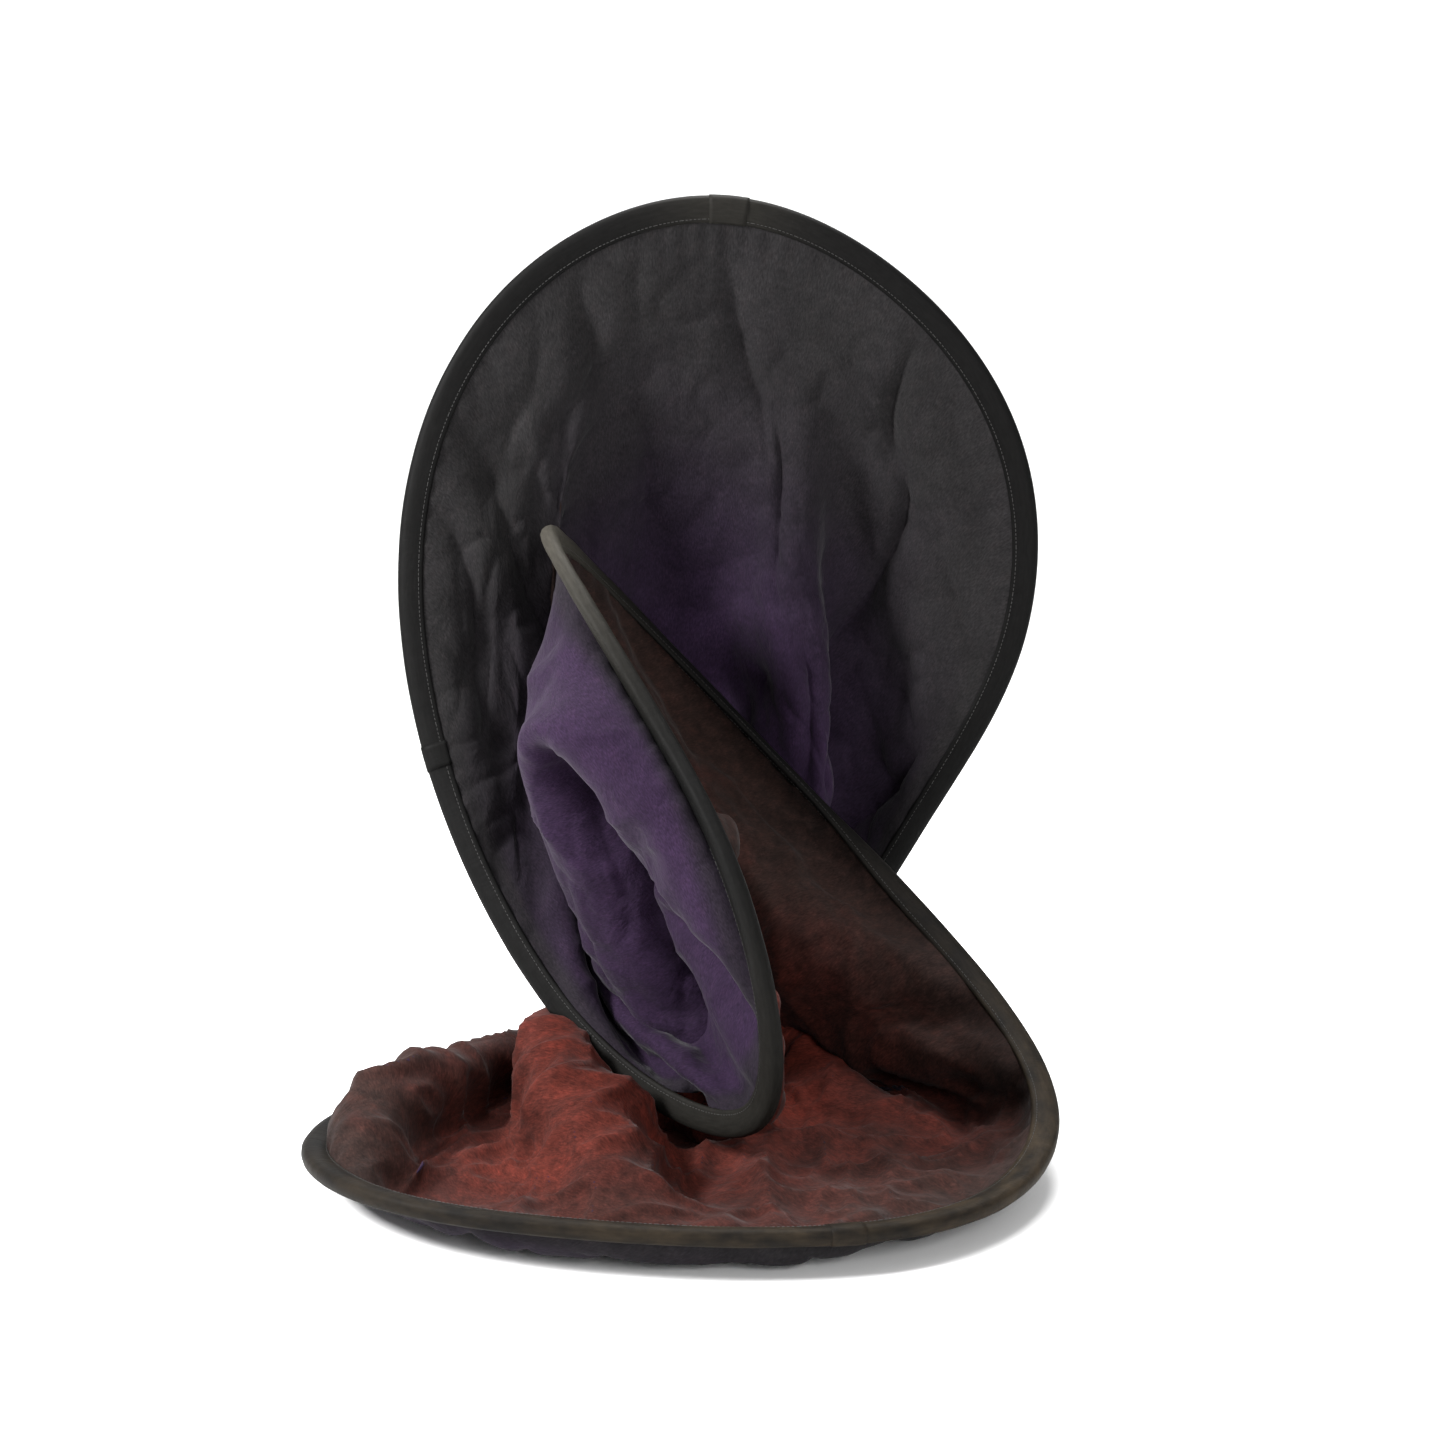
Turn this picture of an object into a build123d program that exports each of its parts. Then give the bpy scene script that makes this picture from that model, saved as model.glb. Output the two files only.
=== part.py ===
"""Collapsible two-sided backdrop panel on a sprung steel hoop, half folded and standing.

Frame: +Z up, +X to the right and -Y towards whoever faces the panel. The origin is on the
floor, at the middle of the underside of the floor lobe's panel. Millimetres.

One closed loop of flat spring steel runs inside a folded binding, and the two fabric panels,
front and back, are sewn into that binding all the way round. Half folded, the loop makes four
lobes, in this order along the steel: the upper lobe, which stands; the floor lobe, which lies;
the inner top lobe, which rises in front of the upper one; and the inner bottom lobe, which
hangs into the floor lobe. The steel flexes where one lobe turns into the next.
"""

import os

from build123d import *

os.makedirs("parts", exist_ok=True)

# ---------------------------------------------------------------- driving dimensions
# Route of the steel: a point, and the side on which the fabric leaves it there.
HOOP_ROUTE = [
    ((50, 375, 1035), (0.0, 0.0, -1.0)),  # crest of the upper lobe
    ((270, 390, 945), (-0.6, 0.0, -0.8)),
    ((410, 410, 750), (-1.0, 0.1, -0.3)),
    ((415, 440, 510), (-1.0, -0.1, 0.2)),
    ((305, 460, 290), (-0.8, -0.4, 0.4)),
    ((175, 450, 120), (-0.5, -0.4, 0.8)),  # turns down behind the other lobes
    ((-75, 380, 60), (0.0, -0.6, 0.8)),
    ((-245, 235, 42), (0.6, -0.8, 0.3)),
    ((-372, -35, 42), (1.0, -0.2, 0.1)),  # left end of the floor lobe
    ((-275, -205, 50), (0.8, 0.6, 0.0)),
    ((-75, -285, 50), (0.2, 1.0, 0.0)),  # front of the floor lobe
    ((120, -290, 44), (-0.1, 1.0, 0.0)),
    ((325, -190, 38), (-0.7, 0.7, 0.1)),
    ((413, 50, 80), (-0.9, -0.1, 0.4)),  # right end of the floor lobe
    ((300, 265, 215), (-0.8, -0.6, -0.1)),
    ((150, 390, 355), (-0.2, -0.9, 0.4)),
    ((-92, 415, 605), (0.3, -0.9, -0.3)),
    ((-125, 190, 660), (0.4, 0.3, -0.8)),  # crest of the inner top lobe
    ((-2, 20, 480), (-0.3, 0.8, -0.5)),
    ((90, -85, 295), (-0.5, 0.8, -0.2)),
    ((100, -60, 85), (-0.5, 0.3, 0.8)),  # foot of the inner bottom lobe
    ((-10, 65, 65), (0.0, -0.2, 1.0)),
    ((-120, 165, 135), (0.4, -0.4, 0.8)),
    ((-220, 250, 275), (0.7, -0.5, 0.5)),
    ((-295, 320, 495), (0.9, -0.3, 0.2)),
    ((-290, 360, 735), (0.9, -0.3, -0.2)),
    ((-177, 370, 938), (0.7, 0.0, -0.7)),
]

# Share of the way round, from the crest, at which one lobe turns into the next.
FLEX_UPPER_FLOOR = 0.185
FLEX_FLOOR_TOP = 0.527
FLEX_TOP_BOTTOM = 0.710
FLEX_BOTTOM_UPPER = 0.835

# Share of the way round of each lobe's far end.
UPPER_CREST = 0.0
FLOOR_END = 0.350
TOP_CREST = 0.645
BOTTOM_FOOT = 0.775

STATION_PITCH = 30.0  # length of steel between two sections
FLEX_GAP = 4.0  # clear length on each side of a flex point

BAND_WIDTH = 12.0
BAND_THICKNESS = 1.2
BAND_SET = -4.5  # the steel lies against the outer fold of its binding

SLEEVE_OUT = 11.0  # from the hoop's line to the outer fold
SLEEVE_IN = 19.0  # from the hoop's line to the stitched edge
SLEEVE_HALF = 8.6
TAPE = 1.3  # thickness of the folded binding

PANEL_SET = 21.0  # from the hoop's line to the free fabric
MARGIN_SET = 7.0  # the panels' sewn margins reach this far into the binding
MARGIN_CLEAR = 1.5  # between a sewn margin and the free fabric
LAYER = 0.9  # thickness of one fabric panel
LAYER_GAP = 0.15  # from the mid surface to each panel

FERRULE_LENGTH = 44.0
FERRULE_WALL = 0.8
RIVET_RADIUS = 1.5
RIVET_PITCH = 22.0

UPPER_BAG = 105.0  # how far the standing fabric bags backwards
TOP_BAG = 60.0
BOTTOM_BAG = 28.0
FLOOR_RUN = 0.16  # share of each floor section that slopes down from the rim

# ---------------------------------------------------------------- the hoop's line
with BuildLine() as hoop_line:
    Spline(*[point for point, side in HOOP_ROUTE], periodic=True)
hoop = hoop_line.edges()[0]
hoop_length = hoop.length

CHECKPOINTS = 2000
trace = [hoop @ (k / CHECKPOINTS) for k in range(CHECKPOINTS)]


def share_of(point):
    """Share of the way round at which the hoop passes a route point."""
    distances = [(spot - Vector(*point)).length for spot in trace]
    return distances.index(min(distances)) / CHECKPOINTS


route_shares = [share_of(point) for point, side in HOOP_ROUTE] + [1.0]
route_sides = [Vector(*side).normalized() for point, side in HOOP_ROUTE]


def fabric_side(share):
    """The side on which the fabric leaves the steel, turned smoothly between route points."""
    share = share % 1.0
    k = max(i for i, start in enumerate(route_shares[:-1]) if start <= share)
    t = (share - route_shares[k]) / (route_shares[k + 1] - route_shares[k])
    t = t * t * (3 - 2 * t)
    return route_sides[k] * (1 - t) + route_sides[(k + 1) % len(route_sides)] * t


def station(share):
    """A plane across the hoop: x towards the fabric, y towards its back face, z along the steel."""
    share = share % 1.0
    along = hoop % share
    side = fabric_side(share)
    side = side - along * side.dot(along)
    return Plane(origin=hoop @ share, x_dir=side, z_dir=along)


def shares_between(start, end, pitch=STATION_PITCH):
    """Evenly spaced shares from start to end, both included."""
    count = max(2, round((end - start) * hoop_length / pitch))
    return [start + (end - start) * k / count for k in range(count + 1)]


def past(share, millimetres):
    """The share that lies so many millimetres further round."""
    return share + millimetres / hoop_length


def across_hoop(outline, shares):
    """The same outline drawn across the hoop at each share, ready to be lofted."""
    sections = []
    for share in shares:
        with BuildSketch(station(share)) as section:
            with BuildLine():
                Polyline(*outline, close=True)
            make_face()
        sections.append(section.sketch)
    return sections


def mirrored(half):
    """A closed outline from its half with y above zero."""
    return half + [(x, -y) for x, y in reversed(half)]


def folded(half_outer, half_inner):
    """Outline of a tape folded round the steel, open on the fabric side."""
    return mirrored(half_outer) + [(x, -y) for x, y in half_inner] + list(reversed(half_inner))


def rectangle(x_low, x_high, y_low, y_high):
    return [(x_low, y_low), (x_high, y_low), (x_high, y_high), (x_low, y_high)]


# ---------------------------------------------------------------- outlines
sleeve_outer = [
    (SLEEVE_IN, 3.0),
    (4.0, 8.0),
    (-8.0, SLEEVE_HALF),
    (-SLEEVE_OUT, 5.5),
]
sleeve_inner = [
    (SLEEVE_IN, 3.0 - TAPE),
    (4.0, 8.0 - 1.05 * TAPE),
    (-8.0 + 0.5 * TAPE, SLEEVE_HALF - TAPE),
    (-SLEEVE_OUT + TAPE, 5.5 - 0.5 * TAPE),
]
sleeve_outline = folded(sleeve_outer, sleeve_inner)

PATCH_CLEAR = 0.4
PATCH_TAPE = 1.2
patch_inner = [(x if x > 0 else x - PATCH_CLEAR, y + PATCH_CLEAR) for x, y in sleeve_outer]
patch_outer = [
    (x if x > 0 else x - PATCH_TAPE, y + (PATCH_TAPE if x > -SLEEVE_OUT else 0.6))
    for x, y in patch_inner
]
patch_outline = folded(patch_outer, patch_inner)

band_outline = rectangle(
    BAND_SET - BAND_THICKNESS / 2, BAND_SET + BAND_THICKNESS / 2, -BAND_WIDTH / 2, BAND_WIDTH / 2
)

# ---------------------------------------------------------------- lobes of the hoop
LOBES = {
    "upper": (FLEX_BOTTOM_UPPER - 1.0, FLEX_UPPER_FLOOR),
    "floor": (FLEX_UPPER_FLOOR, FLEX_FLOOR_TOP),
    "inner_top": (FLEX_FLOOR_TOP, FLEX_TOP_BOTTOM),
    "inner_bottom": (FLEX_TOP_BOTTOM, FLEX_BOTTOM_UPPER),
}


def finish(part, name):
    part.label = name
    export_step(part, f"parts/{name}.step")


def lobe_shares(lobe):
    start, end = LOBES[lobe]
    return shares_between(past(start, FLEX_GAP), past(end, -FLEX_GAP))


# ---------------------------------------------------------------- binding sleeves
for lobe in LOBES:
    with BuildPart() as rim_sleeve:
        loft(across_hoop(sleeve_outline, lobe_shares(lobe)), ruled=True)
    finish(rim_sleeve.part, f"rim_sleeve_{lobe}")

# ---------------------------------------------------------------- spring steel
# The loop is one band whose two ends meet inside the ferrule at the crest.
BAND_BUTT = 0.5
FINE_PITCH = 11.0  # length between sections in and near the ferrule
FINE_REACH = FERRULE_LENGTH / 2
upper_start, upper_end = lobe_shares("upper")[0], lobe_shares("upper")[-1]
right_of_ferrule = shares_between(past(0, BAND_BUTT), past(0, FINE_REACH), FINE_PITCH)
left_of_ferrule = shares_between(past(0, -FINE_REACH), past(0, -BAND_BUTT), FINE_PITCH)
BAND_RUNS = {
    "spring_band_upper_right": right_of_ferrule
    + shares_between(past(0, FINE_REACH), upper_end)[1:],
    "spring_band_upper_left": shares_between(upper_start, past(0, -FINE_REACH))[:-1]
    + left_of_ferrule,
    "spring_band_floor": lobe_shares("floor"),
    "spring_band_inner_top": lobe_shares("inner_top"),
    "spring_band_inner_bottom": lobe_shares("inner_bottom"),
}
rivet_shares = [past(0, -RIVET_PITCH / 2), past(0, RIVET_PITCH / 2)]
RIVET_LIFT = 3.0  # from the middle of the steel to the top of a rivet head


def rivet_plane(share):
    """A plane whose z axis crosses the steel, from its outer face to its inner one."""
    across = station(share)
    return Plane(
        origin=across.from_local_coords(Vector(BAND_SET, 0, 0)), x_dir=across.z_dir, z_dir=across.x_dir
    )


def rivet_holes():
    """Cuts the rivet holes out of the part that is being built."""
    for share in rivet_shares:
        with BuildSketch(rivet_plane(share)) as hole:
            Circle(RIVET_RADIUS)
        extrude(hole.sketch, amount=2 * RIVET_LIFT, both=True, mode=Mode.SUBTRACT)


for name, shares in BAND_RUNS.items():
    with BuildPart() as spring_band:
        loft(across_hoop(band_outline, shares), ruled=True)
        if name.startswith("spring_band_upper"):
            rivet_holes()
    finish(spring_band.part, name)

# ---------------------------------------------------------------- ferrule and rivets
half_ferrule = FERRULE_LENGTH / 2
ferrule_shares = (
    shares_between(past(0, -half_ferrule), past(0, -BAND_BUTT), FINE_PITCH)
    + shares_between(past(0, BAND_BUTT), past(0, half_ferrule), FINE_PITCH)
)
ferrule_bore = 0.25
half_bore = BAND_THICKNESS / 2 + ferrule_bore
half_slot = BAND_WIDTH / 2 + ferrule_bore
half_wall = half_bore + FERRULE_WALL
half_side = half_slot + 0.6 * FERRULE_WALL
ferrule_outline = rectangle(BAND_SET - half_wall, BAND_SET + half_wall, -half_side, half_side)
bore_outline = rectangle(BAND_SET - half_bore, BAND_SET + half_bore, -half_slot, half_slot)
with BuildPart() as band_ferrule:
    loft(across_hoop(ferrule_outline, ferrule_shares), ruled=True)
    loft(across_hoop(bore_outline, ferrule_shares), ruled=True, mode=Mode.SUBTRACT)
    rivet_holes()
finish(band_ferrule.part, "band_ferrule")

RIVET_HEAD = 2.4
HEAD_HEIGHT = 0.7
with BuildPart() as ferrule_rivets:
    for share in rivet_shares:
        with BuildSketch(rivet_plane(share)):
            Circle(RIVET_RADIUS - 0.05)
        extrude(amount=half_wall, both=True)
        for direction in (1, -1):
            seat = rivet_plane(share).offset(direction * half_wall)
            with BuildSketch(seat):
                Circle(RIVET_HEAD)
            extrude(amount=direction * HEAD_HEIGHT)
finish(ferrule_rivets.part, "ferrule_rivets")

# ---------------------------------------------------------------- joins of the binding
# Where two lengths of the tape meet, a short length is sewn over them.
TAPE_JOINS = {
    "tape_join_crest": (0.003, 46.0),
    "tape_join_left": (0.872, 30.0),
    "tape_join_front": (0.412, 34.0),
}
for name, (middle, length) in TAPE_JOINS.items():
    with BuildPart() as tape_join:
        shares = shares_between(past(middle, -length / 2), past(middle, length / 2), FINE_PITCH)
        loft(across_hoop(patch_outline, shares), ruled=True)
    finish(tape_join.part, name)

# ---------------------------------------------------------------- fabric panels
FRONT = (-LAYER_GAP - LAYER, -LAYER_GAP)
BACK = (LAYER_GAP, LAYER_GAP + LAYER)


def fabric_edge(share):
    """The point at which the free fabric starts, beyond the stitched edge of the binding."""
    return station(share).from_local_coords(Vector(PANEL_SET, 0, 0))


def strip_section(points, outward, layer):
    """A thin strip through points that share one plane with outward, shifted by a layer."""
    low, high = layer
    ring = [p + outward * low for p in points] + [p + outward * high for p in reversed(points)]
    chord = points[-1] - points[0]
    plane = Plane(origin=points[0], x_dir=chord, z_dir=chord.cross(outward))
    with BuildSketch(plane) as section:
        with BuildLine():
            Polyline(*[tuple(plane.to_local_coords(p))[:2] for p in ring], close=True)
        make_face()
    return section.sketch


BAG_SHAPE = [(0, 0), (0.1, 0.5), (0.22, 0.9), (0.36, 1), (0.64, 1), (0.78, 0.9), (0.9, 0.5), (1, 0)]
STANDING_ENDS = (0.05, 0.98)  # how far from a lobe's far end its panel starts and stops
FLOOR_ENDS = (0.12, 0.965)
STANDING_SECTIONS = 14
FLOOR_SECTIONS = 10


def bagged_points(first, last, bag, amount):
    """Points from first to last that bag sideways by amount."""
    return [first + (last - first) * t + bag * (amount * depth) for t, depth in BAG_SHAPE]


FLOOR_REACH = (0.1, 0.78)  # the fabric lies on the floor between these


def floor_points(first, last, spread):
    """Points from first down to the floor, along it and up to last."""
    near_end, near_flex = FLOOR_REACH
    lift = max(0.0, 1 - spread / near_end, (spread - near_flex) / (1 - near_flex)) ** 2
    points = []
    for t, depth in ((0, 0), (FLOOR_RUN, 1), (0.5, 1), (1 - FLOOR_RUN, 1), (1, 0)):
        point = first + (last - first) * t
        rest = LAYER_GAP + LAYER
        height = rest + (point.Z - rest) * max(1 - depth, lift)
        points.append(Vector(point.X, point.Y, height))
    return points


# Each free panel: its lobe, its far end, which way it bags and by how much.
# BACKWARDS tells whether the panel bags towards its back face.
PANELS = {
    "upper": (UPPER_CREST, Vector(0, 1, 0), UPPER_BAG, True),
    "floor": (FLOOR_END, Vector(0, 0, -1), None, False),
    "inner_top": (TOP_CREST, Vector(-1, 0, 0), TOP_BAG, False),
    "inner_bottom": (BOTTOM_FOOT, Vector(-0.6, -0.7, -0.4).normalized(), BOTTOM_BAG, False),
}


def bag_amount(spread, amount):
    """The bag is deepest half way between the lobe's far end and its flex line."""
    return amount * (4 * spread * (1 - spread)) ** 0.8


def free_panel(lobe, face):
    """Lofts the free part of one panel of a lobe, from near its far end to its flex line."""
    crest, bag, amount, backwards = PANELS[lobe]
    low, high = FRONT if face == "front" else BACK
    layer = (low, high) if backwards else (-high, -low)
    start, end = LOBES[lobe]
    sections = []
    near, far = FLOOR_ENDS if lobe == "floor" else STANDING_ENDS
    count = FLOOR_SECTIONS if lobe == "floor" else STANDING_SECTIONS
    for k in range(count + 1):
        spread = near + (far - near) * k / count
        first = fabric_edge(crest + (start - crest) * spread)
        last = fabric_edge(crest + (end - crest) * spread)
        if lobe == "floor":
            points = floor_points(first, last, spread)
        else:
            points = bagged_points(first, last, bag, bag_amount(spread, amount))
        sections.append(strip_section(points, bag, layer))
    loft(sections, ruled=True)


def sewn_margin(lobe, face):
    """Lofts the edge of one panel that is sewn into the binding of its lobe."""
    low, high = FRONT if face == "front" else BACK
    margin = rectangle(MARGIN_SET, PANEL_SET - MARGIN_CLEAR, low, high)
    loft(across_hoop(margin, lobe_shares(lobe)), ruled=True)


for lobe in LOBES:
    for face in ("front", "back"):
        with BuildPart() as panel:
            free_panel(lobe, face)
            sewn_margin(lobe, face)
        finish(panel.part, f"{face}_panel_{lobe}")

# ---------------------------------------------------------------- middle of the panels
# A saddle between the four flex points, where the lobes' fabric meets.
SADDLE_SECTIONS = 8
SADDLE_INSET = 0.04

corners = [
    fabric_edge(share)
    for share in (FLEX_UPPER_FLOOR, FLEX_FLOOR_TOP, FLEX_TOP_BOTTOM, FLEX_BOTTOM_UPPER)
]
saddle_out = (corners[2] - corners[0]).cross(corners[3] - corners[1]).normalized()

for face in ("front", "back"):
    with BuildPart() as middle:
        sections = []
        for k in range(SADDLE_SECTIONS + 1):
            t = SADDLE_INSET + (1 - 2 * SADDLE_INSET) * k / SADDLE_SECTIONS
            near = corners[0] * (1 - t) + corners[1] * t
            far = corners[3] * (1 - t) + corners[2] * t
            inset = (far - near) * SADDLE_INSET
            layer = FRONT if face == "front" else BACK
            sections.append(strip_section([near + inset, far - inset], saddle_out, layer))
        loft(sections, ruled=True)
    finish(middle.part, f"{face}_panel_middle")

print("length of the hoop", round(hoop_length))
for share in (FLEX_UPPER_FLOOR, FLEX_FLOOR_TOP, FLEX_TOP_BOTTOM, FLEX_BOTTOM_UPPER):
    spot = hoop @ share
    print("flex point", share, [round(c, 1) for c in spot])
print("saddle out", saddle_out)
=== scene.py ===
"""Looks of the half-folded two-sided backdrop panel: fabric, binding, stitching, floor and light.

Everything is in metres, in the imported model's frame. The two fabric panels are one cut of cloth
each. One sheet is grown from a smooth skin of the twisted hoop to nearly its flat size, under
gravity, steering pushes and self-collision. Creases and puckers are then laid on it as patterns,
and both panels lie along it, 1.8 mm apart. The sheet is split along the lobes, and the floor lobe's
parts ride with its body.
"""

import math

import bpy
import numpy as np
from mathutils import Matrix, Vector


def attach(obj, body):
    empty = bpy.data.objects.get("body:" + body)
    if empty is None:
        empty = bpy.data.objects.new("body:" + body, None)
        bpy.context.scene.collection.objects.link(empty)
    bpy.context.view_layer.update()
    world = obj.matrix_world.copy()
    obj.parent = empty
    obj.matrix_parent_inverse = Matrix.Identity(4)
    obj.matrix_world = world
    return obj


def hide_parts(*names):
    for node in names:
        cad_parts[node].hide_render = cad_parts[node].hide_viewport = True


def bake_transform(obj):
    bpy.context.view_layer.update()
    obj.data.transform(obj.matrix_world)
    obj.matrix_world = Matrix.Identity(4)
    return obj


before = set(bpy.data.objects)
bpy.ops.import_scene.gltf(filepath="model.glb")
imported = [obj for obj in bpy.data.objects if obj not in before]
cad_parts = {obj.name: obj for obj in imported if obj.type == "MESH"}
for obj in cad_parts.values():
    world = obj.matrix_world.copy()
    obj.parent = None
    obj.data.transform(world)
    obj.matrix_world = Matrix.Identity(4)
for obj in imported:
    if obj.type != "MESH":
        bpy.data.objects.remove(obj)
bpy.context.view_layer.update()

# ---------------------------------------------------------------- sizes
# Route of the steel, as in the part's source: a point, and the side on which the fabric leaves it.
HOOP_ROUTE = [
    ((0.050, 0.375, 1.035), (0.0, 0.0, -1.0)),
    ((0.270, 0.390, 0.945), (-0.6, 0.0, -0.8)),
    ((0.410, 0.410, 0.750), (-1.0, 0.1, -0.3)),
    ((0.415, 0.440, 0.510), (-1.0, -0.1, 0.2)),
    ((0.305, 0.460, 0.290), (-0.8, -0.4, 0.4)),
    ((0.175, 0.450, 0.120), (-0.5, -0.4, 0.8)),
    ((-0.075, 0.380, 0.060), (0.0, -0.6, 0.8)),
    ((-0.245, 0.235, 0.042), (0.6, -0.8, 0.3)),
    ((-0.372, -0.035, 0.042), (1.0, -0.2, 0.1)),
    ((-0.275, -0.205, 0.050), (0.8, 0.6, 0.0)),
    ((-0.075, -0.285, 0.050), (0.2, 1.0, 0.0)),
    ((0.120, -0.290, 0.044), (-0.1, 1.0, 0.0)),
    ((0.325, -0.190, 0.038), (-0.7, 0.7, 0.1)),
    ((0.413, 0.050, 0.080), (-0.9, -0.1, 0.4)),
    ((0.300, 0.265, 0.215), (-0.8, -0.6, -0.1)),
    ((0.150, 0.390, 0.355), (-0.2, -0.9, 0.4)),
    ((-0.092, 0.415, 0.605), (0.3, -0.9, -0.3)),
    ((-0.125, 0.190, 0.660), (0.4, 0.3, -0.8)),
    ((-0.002, 0.020, 0.480), (-0.3, 0.8, -0.5)),
    ((0.090, -0.085, 0.295), (-0.5, 0.8, -0.2)),
    ((0.100, -0.060, 0.085), (-0.5, 0.3, 0.8)),
    ((-0.010, 0.065, 0.065), (0.0, -0.2, 1.0)),
    ((-0.120, 0.165, 0.135), (0.4, -0.4, 0.8)),
    ((-0.220, 0.250, 0.275), (0.7, -0.5, 0.5)),
    ((-0.295, 0.320, 0.495), (0.9, -0.3, 0.2)),
    ((-0.290, 0.360, 0.735), (0.9, -0.3, -0.2)),
    ((-0.177, 0.370, 0.938), (0.7, 0.0, -0.7)),
]
# Shares of the hoop's length, clockwise from the crest, at which one lobe turns into the next.
FLEX_UPPER_FLOOR = 0.185
FLEX_FLOOR_TOP = 0.527
FLEX_TOP_BOTTOM = 0.710
FLEX_BOTTOM_UPPER = 0.835
# Each lobe: where it starts and ends, and its far end.
LOBES = {
    "upper": (FLEX_BOTTOM_UPPER - 1, FLEX_UPPER_FLOOR, 0.0),
    "floor": (FLEX_UPPER_FLOOR, FLEX_FLOOR_TOP, 0.350),
    "inner_top": (FLEX_FLOOR_TOP, FLEX_TOP_BOTTOM, 0.645),
    "inner_bottom": (FLEX_TOP_BOTTOM, FLEX_BOTTOM_UPPER, 0.775),
}
# Which way each lobe lies from the line between its flex points, seen from the floor lobe.
BEND_TOWARDS = {
    "upper": (-0.10, 0.75, 0.60),
    "inner_top": (-0.20, 0.15, 0.95),
    "inner_bottom": (0.20, -0.70, -0.70),
}
BEND_START = 0.020  # from the line between the lobe's flex points
BEND_END = 0.070

PANEL_WIDTH = 1.5
PANEL_LENGTH = 2.1
CORNER_RADIUS = 0.45
TOP_TAPER = 0.24  # how much narrower the cut is at its top
TAPER_FROM = -0.30
TAPER_OVER = 0.90
FABRIC_SET = 0.0165  # from the hoop's line to the fabric's held edge
PANEL_GAP = 0.0009  # from the sheet's middle to each panel
GRID_ACROSS = 97
GRID_ALONG = 137
FINER = 3

CAMERA_AT = (0.06, -2.58, 0.943)
CAMERA_DOWN = 9.8  # degrees below the horizon
CAMERA_LENS = 62.7


# ---------------------------------------------------------------- the hoop's line
def periodic_spline(knots, values, total):
    """A smooth closed curve through values at knots, as a function of the knot value."""
    count = len(knots)
    gap = np.diff(np.append(knots, total))
    matrix = np.zeros((count, count))
    right = np.zeros((count, values.shape[1]))
    for i in range(count):
        before, after = gap[i - 1], gap[i]
        matrix[i, i] = 2 * (before + after)
        matrix[i, i - 1] += before
        matrix[i, (i + 1) % count] += after
        rise = (values[(i + 1) % count] - values[i]) / after
        right[i] = 6 * (rise - (values[i] - values[i - 1]) / before)
    bend = np.linalg.solve(matrix, right)

    def at(x):
        x = np.mod(x, total)
        i = np.clip(np.searchsorted(knots, x, side="right") - 1, 0, count - 1)
        j = (i + 1) % count
        h = gap[i][:, None]
        a = (x - knots[i])[:, None]
        b = h - a
        cubic = (bend[i] * b**3 + bend[j] * a**3) / (6 * h)
        return cubic + (values[i] / h - bend[i] * h / 6) * b + (values[j] / h - bend[j] * h / 6) * a

    return at


def unit(v):
    return v / np.maximum(np.linalg.norm(v, axis=-1, keepdims=True), 1e-12)


def trace_hoop(count):
    """Evenly spaced points of the hoop, its direction and the fabric's side at each, its length."""
    points = np.array([p for p, side in HOOP_ROUTE])
    sides = unit(np.array([side for p, side in HOOP_ROUTE]))
    chord = np.linalg.norm(np.roll(points, -1, 0) - points, axis=1)
    knots = np.concatenate([[0], np.cumsum(chord)])
    line = periodic_spline(knots[:-1], points, knots[-1])
    fine = np.linspace(0, knots[-1], 8 * count, endpoint=False)
    spots = line(fine)
    run = np.concatenate([[0], np.cumsum(np.linalg.norm(np.roll(spots, -1, 0) - spots, axis=1))])
    at = np.interp(np.arange(count) / count * run[-1], run[:-1], fine)
    spot = line(at)
    along = unit(np.roll(spot, -1, 0) - np.roll(spot, 1, 0))
    k = np.clip(np.searchsorted(knots, at, side="right") - 1, 0, len(points) - 1)
    t = (at - knots[k]) / (knots[k + 1] - knots[k])
    t = (t * t * (3 - 2 * t))[:, None]
    side = sides[k] * (1 - t) + sides[(k + 1) % len(points)] * t
    side = unit(side - (side * along).sum(1)[:, None] * along)
    return spot, along, side, run[-1]


RIM_COUNT = 2600
rim_at, rim_along, rim_side, HOOP_LENGTH = trace_hoop(RIM_COUNT)
rim_across = np.cross(rim_along, rim_side)


def rim_index(share):
    return np.mod(np.round(np.asarray(share) * RIM_COUNT).astype(int), RIM_COUNT)


# ---------------------------------------------------------------- the flat cut
def flat_outline(share, width, length, radius):
    """Points of a rectangle with round corners, clockwise from the middle of its top side."""
    half, tall = width / 2 - radius, length / 2 - radius
    arc = math.pi / 2 * radius
    spans = [
        (half, (0, length / 2), (1, 0), None),
        (arc, (half, tall), None, 90),
        (2 * tall, (width / 2, tall), (0, -1), None),
        (arc, (half, -tall), None, 0),
        (2 * half, (half, -length / 2), (-1, 0), None),
        (arc, (-half, -tall), None, -90),
        (2 * tall, (-width / 2, -tall), (0, 1), None),
        (arc, (-half, tall), None, 180),
        (half, (-half, length / 2), (1, 0), None),
    ]
    total = sum(span[0] for span in spans)
    at = np.mod(share, 1) * total
    out = np.zeros((len(at), 2))
    start = 0.0
    for size, anchor, heading, angle in spans:
        here = (at >= start - 1e-9) & (at <= start + size + 1e-9)
        gone = at[here] - start
        if angle is None:
            out[here] = np.array(anchor) + gone[:, None] * np.array(heading)
        else:
            turn = math.radians(angle) - gone / radius
            out[here] = np.array(anchor) + radius * np.stack([np.cos(turn), np.sin(turn)], 1)
        start += size
    return out


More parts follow.
